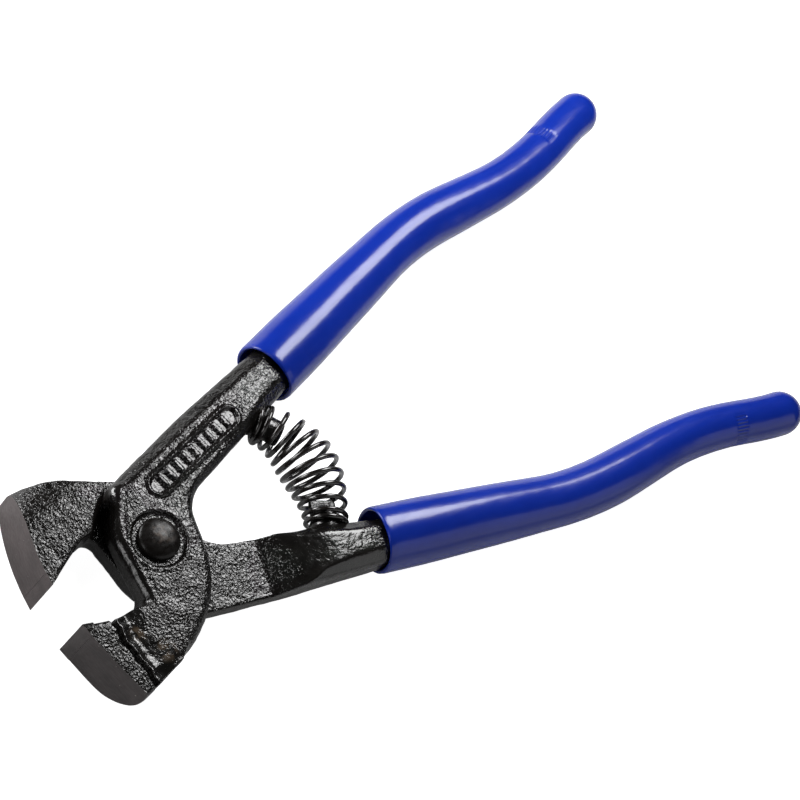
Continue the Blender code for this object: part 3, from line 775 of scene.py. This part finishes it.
def make_arm(side, jaw, paint, ground_steel):
    field, corner = forging_field(jaw, foot_seat=side == "back")
    arm = new_object(f"{side}_forging", field_to_mesh(field, corner, f"{side}_forging"))
    cut(arm, grinding_cutter(jaw), cutting_block(tip_outline(jaw, SEAT_SECTION), "tip_seat"))
    arm.data.materials.clear()
    arm.data.materials.append(paint)
    arm.data.materials.append(ground_steel)
    mark_ground_faces(arm.data, jaw)
    mark_crinkle(arm.data, jaw)
    arm.data.shade_smooth()
    arm.data.set_sharp_from_angle(angle=FORGING_SHARP)
    return place(arm, side)


def make_tip(side, jaw, paint, carbide):
    """The brazed tip, ground bare on the jaw's face and painted over on its other sides."""
    name = f"{side}_cutting_tip"
    half = JAW_HALF - TIP_INSET
    tip = new_object(name, prism(tip_outline(jaw, TIP_SECTION), -half, half, name), smooth=False)
    bevel = tip.modifiers.new("edges", "BEVEL")
    bevel.width = TIP_BEVEL
    bevel.segments = 2
    mesh = applied(tip)
    mesh.materials.append(paint)
    mesh.materials.append(carbide)
    mark_ground_faces(mesh, jaw)
    mark_crinkle(mesh, jaw)
    return place(tip, side)


# ---- grips -----------------------------------------------


def handle_path(distances):
    """(x, y, heading, whole length) of the handle's centreline at distances from the grip's mouth."""
    steps = np.arange(0.0, PATH_LENGTH, PATH_STEP)
    curvature = np.zeros(len(steps))
    reached = 0.0
    for length, bend in HANDLE_RUNS:
        reached += length
        bend_length = abs(math.radians(bend)) * HANDLE_BEND_R
        on_bend = (steps >= reached) & (steps < reached + bend_length)
        curvature[on_bend] = math.copysign(1 / HANDLE_BEND_R, bend)
        reached += bend_length
    heading = HANDLE_HEADING + np.cumsum(curvature) * PATH_STEP
    x = HANDLE_START[0] + np.cumsum(np.cos(heading)) * PATH_STEP
    y = HANDLE_START[1] + np.cumsum(np.sin(heading)) * PATH_STEP
    start = (MOUTH_X - HANDLE_START[0]) / math.cos(HANDLE_HEADING)
    at = np.asarray(distances) + start
    places = [np.interp(at, steps, values) for values in (x, y, heading)]
    return (*places, reached - start)


def smooth_radius(distances):
    """Outer radius of the grip, its changes of slope rounded off."""
    fine = np.arange(*RADIUS_SPAN, RADIUS_STEP)
    raw = np.interp(fine, GRIP_DISTANCES, GRIP_RADII)
    window = np.hanning(RADIUS_WINDOW)
    padded = np.pad(raw, RADIUS_WINDOW // 2, mode="edge")
    eased = np.convolve(padded, window / window.sum(), "valid")
    return np.interp(distances, fine, eased)


def grip_ring(distance, radius, squareness=ROUND):
    """A ring of points round the centreline; radius is a number or one value per side."""
    x, y, heading, _ = handle_path([distance])
    angles = np.arange(GRIP_SIDES) * TURN / GRIP_SIDES
    c, s = np.cos(angles), np.sin(angles)
    reach = radius * (np.abs(c) ** squareness + np.abs(s) ** squareness) ** (-1 / squareness)
    across = np.array([-math.sin(heading[0]), math.cos(heading[0]), 0.0])
    centre = np.array([x[0], y[0], 0.0])
    return centre + across * (reach * c)[:, None] + np.array([0.0, 0.0, 1.0]) * (reach * s)[:, None]


def mouth_rings():
    """The hollow at the mouth, from its floor outwards, and the rounded lip."""
    rings = []
    for depth in HOLLOW_DEPTHS:
        flare = FLARE * max(0.0, 1 - depth / FLARE_DEPTH)
        rings.append(grip_ring(depth, smooth_radius(depth) - GRIP_WALL + flare, MOUTH_SQUARENESS))
    for k in range(LIP_STEPS + 1):
        angle = math.pi * k / LIP_STEPS
        radius = smooth_radius(0.0) - LIP_R - LIP_INSET - LIP_R * math.cos(angle)
        squareness = between(MOUTH_SQUARENESS, ROUND, k / LIP_STEPS)
        rings.append(grip_ring(LIP_R - LIP_R * math.sin(angle), radius, squareness))
    return rings


def body_rings(length, end_r):
    """The outer skin, uneven as a dipped coat is, with a sunken band of ribs on its outer half."""
    angles = np.arange(GRIP_SIDES) * TURN / GRIP_SIDES
    band_at = length - BAND_FROM_END
    band_half = BAND_WIDTH / 2
    body = np.arange(GRIP_STEP, length - end_r, GRIP_STEP)
    band = band_at + np.linspace(-band_half - BAND_MARGIN, band_half + BAND_MARGIN, BAND_RINGS)
    outer_half = ease(np.cos(angles), BAND_OUTER_HALF)
    ribs = outer_half * (RIB_HEIGHT * np.cos(BAND_RIBS * angles) - BAND_SINK)
    rings = []
    for distance in np.unique(np.round(np.concatenate([body, band]), 3)):
        in_band = ease(band_half - abs(distance - band_at), BAND_FADE)
        waves = sum(height * np.sin(distance * rate + angles * n) for height, rate, n in DIP_WAVES)
        radius = smooth_radius(distance) + in_band * ribs + waves * ease(distance, DIP_WAVES_FROM)
        rings.append(grip_ring(distance, radius))
    return rings


def end_rings(length, end_r):
    rings = []
    for k in range(END_STEPS + 1):
        angle = END_ANGLE * k / END_STEPS
        along = length - end_r + end_r * math.sin(angle)
        rings.append(grip_ring(along, max(END_LEAST_R, end_r * math.cos(angle))))
    return rings


def make_grip(side, vinyl):
    """A dipped sleeve: hollow at the mouth, rounded lip, slow taper, a ribbed band and a round end."""
    length = handle_path([0.0])[-1]
    end_r = float(smooth_radius(length))
    rings = [*mouth_rings(), *body_rings(length, end_r), *end_rings(length, end_r)]
    grip = new_object(f"{side}_sleeve", loft(rings, f"{side}_sleeve"))
    grip.data.materials.append(vinyl)
    return place(grip, side)


# ---- spring and rivet ------------------------------------


def unit(vectors):
    return vectors / np.linalg.norm(vectors, axis=1)[:, None]


def spring_line(share):
    """(points, unit tangents) on the spring's bowed centreline, from the back arm to the front arm."""
    line = np.array(SPRING_LINE)
    share = share[:, None]
    rest = 1 - share
    points = rest**3 * line[0] + 3 * rest**2 * share * line[1]
    points = points + 3 * rest * share**2 * line[2] + share**3 * line[3]
    legs = np.diff(line, axis=0)
    tangents = rest**2 * legs[0] + 2 * rest * share * legs[1] + share**2 * legs[2]
    return points, unit(tangents)


def coil_points(turns):
    """(wire centres, directions from the coil's axis, shares of the way from back to front)."""
    open_turns = COIL_TURNS - 2
    samples = spring_line(np.linspace(0, 1, SPRING_SAMPLES))[0]
    length = np.linalg.norm(np.diff(samples, axis=0), axis=1).sum()
    end_share = COIL_END_PITCH * WIRE_R / length
    into_open = np.clip(turns - 1, 0, open_turns)
    share = end_share * (turns - into_open) + (1 - 2 * end_share) * into_open / open_turns
    points, tangents = spring_line(share)
    barrel = COIL_BARREL * np.sin(math.pi * share) ** 2
    radius = between(COIL_BACK_R, COIL_FRONT_R, share) + barrel
    zero = np.zeros_like(share)
    flat = np.stack([tangents[:, 1], -tangents[:, 0], zero], axis=-1)
    up = np.array([0.0, 0.0, 1.0])
    out = flat * np.cos(TURN * turns)[:, None] + up * np.sin(TURN * turns)[:, None]
    return np.column_stack([points, zero]) + out * radius[:, None], out, share


def make_spring(steel):
    turns = np.linspace(0, COIL_TURNS, int(COIL_TURNS * COIL_STEPS) + 1)
    centres, out, share = coil_points(turns)
    along = unit(np.gradient(centres, axis=0))
    side = unit(np.cross(along, out))
    out = np.cross(side, along)
    angles = np.arange(WIRE_SIDES) * TURN / WIRE_SIDES
    c, s = np.cos(angles)[None, :, None], np.sin(angles)[None, :, None]
    rings = centres[:, None] + WIRE_R * (out[:, None] * c + side[:, None] * s)
    spring = new_object("return_coil", loft(rings, "return_coil"))
    spring.data.materials.append(steel)
    place(spring, "front")
    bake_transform(spring)
    return spring


def make_rivet(steel):
    """Hammered dome over the front arm, shank, and a foot flush in the back arm's countersink."""
    edge_in, edge_up = FOOT_EDGE
    profile = [(AXIS_R, FOOT_Z), (FOOT_R - edge_in, FOOT_Z), (FOOT_R, FOOT_Z + edge_up)]
    profile += [(SHANK_R, FOOT_CONE_Z), (SHANK_R, HEAD_SEAT_Z)]
    profile += [(HEAD_R - HEAD_EDGE, HEAD_SEAT_Z), (HEAD_R, HEAD_SEAT_Z + HEAD_EDGE)]
    profile += [(HEAD_R * math.cos(a), DOME_Z + DOME_HEIGHT * math.sin(a)) for a in DOME_ANGLES]
    profile += [(AXIS_R, DOME_Z + DOME_HEIGHT)]
    rivet = new_object("rivet_pin", lathe(profile, RIVET_SIDES, "rivet_pin"))
    rivet.data.set_sharp_from_angle(angle=RIVET_SHARP)
    rivet.data.materials.append(steel)
    return place(rivet, "front")


# ---- materials -------------------------------------------


class Nodes:
    """A small helper for building one material's node tree. Its sizes are in millimetres."""

    def __init__(self, name):
        self.material = bpy.data.materials.new(name)
        self.material.use_nodes = True
        self.tree = self.material.node_tree
        self.shader = self.tree.nodes["Principled BSDF"]

    def add(self, kind, **settings):
        node = self.tree.nodes.new(kind)
        for key, value in settings.items():
            setattr(node, key, value)
        return node

    def link(self, source, target):
        self.tree.links.new(source, target)

    def feed(self, socket, value):
        if isinstance(value, (int, float, tuple)):
            socket.default_value = value
        else:
            self.link(value, socket)

    def position(self):
        return self.add("ShaderNodeTexCoord").outputs["Object"]

    def math(self, operation, a, b=0.0):
        node = self.add("ShaderNodeMath", operation=operation)
        self.feed(node.inputs[0], a)
        self.feed(node.inputs[1], b)
        return node.outputs[0]

    def noise(self, size, detail=2.0, distortion=0.0, vector=None):
        """Noise whose features are about this size, between 0 and 1."""
        node = self.add("ShaderNodeTexNoise")
        node.inputs["Scale"].default_value = 1 / (size * MM)
        node.inputs["Detail"].default_value = detail
        node.inputs["Distortion"].default_value = distortion
        self.link(vector or self.position(), node.inputs["Vector"])
        return node.outputs["Fac"]

    def stretched(self, scale, turn):
        """The position, turned about Z and scaled along each axis."""
        node = self.add("ShaderNodeMapping")
        node.inputs["Rotation"].default_value = (0.0, 0.0, turn)
        node.inputs["Scale"].default_value = scale
        self.link(self.position(), node.inputs["Vector"])
        return node.outputs["Vector"]

    def remap(self, value, span, to=(0.0, 1.0)):
        """The value eased from the span to another span."""
        node = self.add("ShaderNodeMapRange", interpolation_type="SMOOTHSTEP")
        self.feed(node.inputs["Value"], value)
        node.inputs["From Min"].default_value, node.inputs["From Max"].default_value = span
        node.inputs["To Min"].default_value, node.inputs["To Max"].default_value = to
        return node.outputs["Result"]

    def mix(self, factor, a, b):
        node = self.add("ShaderNodeMix", data_type="RGBA")
        self.feed(node.inputs["Factor"], factor)
        for socket, colour in zip((node.inputs[6], node.inputs[7]), (a, b)):
            self.feed(socket, (*colour, 1.0) if isinstance(colour, tuple) else colour)
        return node.outputs[2]

    def flatness(self, to=(0.0, 1.0)):
        """From the first value on walls to the second on faces that lie flat."""
        geometry = self.add("ShaderNodeNewGeometry")
        split = self.add("ShaderNodeSeparateXYZ")
        self.link(geometry.outputs["Normal"], split.inputs["Vector"])
        return self.remap(self.math("ABSOLUTE", split.outputs["Z"]), span=(0.25, 0.75), to=to)

    def spot(self, centre, radius):
        """1 near a point given from the pivot, fading to 0 at the radius."""
        node = self.add("ShaderNodeVectorMath", operation="DISTANCE")
        self.link(self.position(), node.inputs[0])
        node.inputs[1].default_value = PIVOT + Vector(centre) * MM
        return self.remap(node.outputs["Value"], span=(radius * MM, SPOT_CORE * radius * MM))

    def bump(self, height, depth, strength=0.5, after=None):
        """A bump of this depth, over the bump that comes before it."""
        node = self.add("ShaderNodeBump")
        node.inputs["Distance"].default_value = depth * MM
        self.feed(node.inputs["Strength"], strength)
        self.link(height, node.inputs["Height"])
        if after is not None:
            self.link(after, node.inputs["Normal"])
        self.link(node.outputs["Normal"], self.shader.inputs["Normal"])
        return node.outputs["Normal"]

    def surface(self, **values):
        for name, value in values.items():
            self.feed(self.shader.inputs[name.replace("_", " ")], value)


def worn_colour(n, colour, worn_spots):
    """The colour with brown patches in the worn spots."""
    worn = 0.0
    for centre, radius in worn_spots:
        worn = n.math("MAXIMUM", worn, n.spot(centre, radius))
    patches = n.remap(n.noise(size=1.6, detail=3.0), span=(0.42, 0.62))
    return n.mix(n.math("MULTIPLY", worn, patches), colour, WORN_BROWN)


def forged_paint(name, worn_spots=()):
    """Thick black paint over a forged skin: worm-like crinkle on the faces, thin and smooth on walls."""
    n = Nodes(name)
    crinkle = n.add("ShaderNodeAttribute", attribute_name="crinkle").outputs["Fac"]
    grain = n.noise(size=0.62, detail=1.0, distortion=0.5)
    pits = n.remap(n.noise(size=0.6, detail=1.0, distortion=0.3), span=(0.30, 0.48))
    swell = n.noise(size=5.0, detail=3.0, distortion=0.3)
    patch = n.remap(n.noise(size=9.0), span=(0.35, 0.65))
    colour = n.mix(n.flatness(), PAINT_WALL, n.mix(patch, PAINT_DARK, PAINT_LIGHT))
    if worn_spots:
        colour = worn_colour(n, colour, worn_spots)
    rough = n.remap(n.noise(size=2.0), span=(0.3, 0.7), to=(0.15, 0.24))
    wall = n.flatness(to=(0.10, 0.0))
    n.surface(Base_Color=colour, Roughness=n.math("ADD", rough, wall), Specular_IOR_Level=0.5)
    deep = n.bump(swell, depth=0.4, strength=0.6)
    height = n.math("ADD", grain, n.math("MULTIPLY", pits, 0.35))
    n.bump(height, depth=0.19, strength=n.math("MULTIPLY", crinkle, n.flatness(to=(0.25, 1.0))), after=deep)
    return n.material


# Scales a colour by a side's painted light: brighter for the back jaw, darker for the front.
def with_painted_light(painted_light, colour):
    return tuple(painted_light * part for part in colour)


def painted_light_ground_metal(name, painted_light):
    """Face ground to an edge and darkened: warm dark grey, fine scratches and a few bright specks, with
    painted light per side.
    """
    n = Nodes(name)
    across = n.stretched(scale=(1.0, 0.05, 1.0), turn=math.radians(8))
    scratches = n.noise(size=0.35, vector=across)
    cloud = n.remap(n.noise(size=6.0, detail=3.0), span=(0.3, 0.7))
    speck = n.remap(n.noise(size=0.55, detail=1.0), span=(0.77, 0.82))
    # Painted light: the face's colours are scaled brighter on the back jaw and darker on the front.
    colour = n.mix(cloud, with_painted_light(painted_light, GROUND_DARK), with_painted_light(painted_light, GROUND_LIGHT))
    rough = n.remap(scratches, span=(0.3, 0.7), to=(0.42, 0.58))
    n.surface(Base_Color=n.mix(speck, colour, GROUND_SPECK), Metallic=0.35, Roughness=rough)
    n.bump(scratches, depth=0.02)
    return n.material


def painted_light_sintered_carbide(name, painted_light):
    """Brazed cutting tip: the same dark grey, a little finer and brighter than the steel behind it, with the
    same painted light per side.
    """
    n = Nodes(name)
    grain = n.noise(size=0.25)
    cloud = n.remap(n.noise(size=3.0), span=(0.3, 0.7))
    # Painted light: the tip's colours are scaled brighter on the back jaw and darker on the front.
    colour = n.mix(cloud, with_painted_light(painted_light, CARBIDE_DARK), with_painted_light(painted_light, CARBIDE_LIGHT))
    n.surface(Base_Color=colour, Metallic=0.45, Roughness=n.remap(grain, span=(0.3, 0.7), to=(0.36, 0.5)))
    n.bump(grain, depth=0.012)
    return n.material


def hammered_rivet(name):
    """Peened head, blackened, with a brown mottle where the paint has rubbed thin."""
    n = Nodes(name)
    mottle = n.remap(n.noise(size=1.3, detail=4.0, distortion=0.4), span=(0.42, 0.68))
    worn = n.math("MULTIPLY", mottle, n.spot(*RIVET_WORN))
    n.surface(
        Base_Color=n.mix(worn, RIVET_BLACK, RIVET_BROWN),
        Roughness=n.remap(n.noise(size=0.8), span=(0.3, 0.7), to=(0.24, 0.38)),
        Specular_IOR_Level=0.17,
    )
    dents = n.bump(n.noise(size=2.4, detail=1.0), depth=0.35)
    n.bump(n.noise(size=0.5), depth=0.04, after=dents)
    return n.material


def blackened_wire(name):
    """Spring wire under a thin black coat, cloudy and drawn smooth."""
    n = Nodes(name)
    cloud = n.remap(n.noise(size=2.5), span=(0.35, 0.65))
    n.surface(
        Base_Color=n.mix(cloud, WIRE_DARK, WIRE_LIGHT),
        Roughness=n.remap(n.noise(size=1.2), span=(0.3, 0.7), to=(0.14, 0.24)),
        Coat_Weight=0.3,
        Coat_Roughness=0.12,
    )
    n.bump(n.noise(size=0.6), depth=0.03, strength=0.6)
    return n.material


def dipped_vinyl(name):
    """Glossy ultramarine vinyl, a touch uneven in tone, with a faint orange-peel skin and rub marks."""
    n = Nodes(name)
    cloud = n.math("MULTIPLY", n.noise(size=22.0), 0.7)
    fine = n.math("MULTIPLY", n.noise(size=3.0, detail=3.0), 0.3)
    tone = n.remap(n.math("ADD", cloud, fine), span=(0.35, 0.65))
    rub = n.noise(size=1.2, vector=n.stretched(scale=(0.12, 1.0, 1.0), turn=-HANDLE_HEADING))
    n.surface(
        Base_Color=n.mix(tone, VINYL_DARK, VINYL_LIGHT),
        Roughness=n.remap(rub, span=(0.35, 0.75), to=(0.20, 0.27)),
        Specular_IOR_Level=0.32,
        Subsurface_Weight=0.04,
        Subsurface_Radius=(0.2, 0.3, 1.0),
        Subsurface_Scale=0.001,
        Coat_Weight=0.10,
        Coat_Roughness=0.1,
    )
    peel = n.bump(n.noise(size=9.0, detail=1.0), depth=0.18)
    n.bump(n.noise(size=1.4), depth=0.02, after=peel)
    return n.material


def lit_table(name):
    """White studio table, lit from below as well, so that shadows nearly vanish; it throws back less."""
    n = Nodes(name)
    seen = n.add("ShaderNodeLightPath").outputs["Is Camera Ray"]
    n.surface(
        Base_Color=TABLE_WHITE,
        Roughness=0.8,
        Specular_IOR_Level=0.1,
        Emission_Color=WHITE,
        Emission_Strength=n.remap(seen, span=(0.0, 1.0), to=TABLE_GLOW),
    )
    return n.material


# ---- studio ----------------------------------------------


def make_camera():
    right, forward = Vector(CAMERA_RIGHT), Vector(CAMERA_FORWARD)
    up = right.cross(forward)
    data = bpy.data.cameras.new("camera")
    data.lens = CAMERA_LENS
    data.sensor_width = CAMERA_SENSOR
    data.clip_start = CAMERA_NEAR
    camera = bpy.data.objects.new("camera", data)
    turn = Matrix((right, up, -forward)).transposed().to_4x4()
    camera.matrix_world = Matrix.Translation(PIVOT + Vector(CAMERA_AT) * MM) @ turn
    bpy.context.scene.collection.objects.link(camera)
    bpy.context.scene.camera = camera


def softbox(name, at, size, power):
    """A rectangular light that faces the tool."""
    data = bpy.data.lights.new(name, "AREA")
    data.shape = "RECTANGLE"
    data.size, data.size_y = size
    data.energy = power
    light = bpy.data.objects.new(name, data)
    light.location = PIVOT + Vector(at) * MM
    light.rotation_euler = (Vector(at) - Vector(LIGHTS_AIM)).to_track_quat("Z", "Y").to_euler()
    bpy.context.scene.collection.objects.link(light)


def make_studio():
    bm = bmesh.new()
    bmesh.ops.create_grid(bm, x_segments=1, y_segments=1, size=TABLE_HALF)
    mesh = bpy.data.meshes.new("table_top")
    bm.to_mesh(mesh)
    bm.free()
    table = new_object("table_top", mesh)
    mesh.materials.append(lit_table("white_table"))
    world = bpy.data.worlds.new("studio")
    world.use_nodes = True
    background = world.node_tree.nodes["Background"]
    background.inputs["Color"].default_value = WHITE
    background.inputs["Strength"].default_value = WORLD_GLOW
    bpy.context.scene.world = world
    bpy.context.scene.view_settings.view_transform = "Standard"
    for name, (at, size, power) in LIGHTS.items():
        softbox(name, at, size, power)


# ---- assembly --------------------------------------------


def add_arm_pieces(side, jaw, body, paint):
    # The side's painted light, which makes the back jaw's ground face and tip brighter and the front's
    # darker.
    painted_light = PAINTED_LIGHT_SHADES[side]
    arm = make_arm(side, jaw, paint, painted_light_ground_metal(f"{side}_painted_light_ground_metal", painted_light))
    tip = make_tip(side, jaw, paint, painted_light_sintered_carbide(f"{side}_painted_light_sintered_carbide", painted_light))
    grip = make_grip(side, dipped_vinyl(f"{side}_dipped_vinyl"))
    for piece, node, slot in (
        (arm, f"{side}_arm", "painted_steel"),
        (tip, f"{side}_carbide_tip", "carbide"),
        (grip, f"{side}_grip", "grip_vinyl"),
    ):
        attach(piece, body)
        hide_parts(node)


def build():
    make_camera()
    add_arm_pieces("front", FRONT_JAW, "front_half", forged_paint("front_paint", FRONT_WORN))
    add_arm_pieces("back", BACK_JAW, "back_half", forged_paint("back_paint"))
    spring = make_spring(blackened_wire("blackened_wire"))
    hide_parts("return_spring")
    rivet = make_rivet(hammered_rivet("hammered_rivet"))
    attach(rivet, "back_half")
    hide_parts("pivot_rivet")
    make_studio()


build()
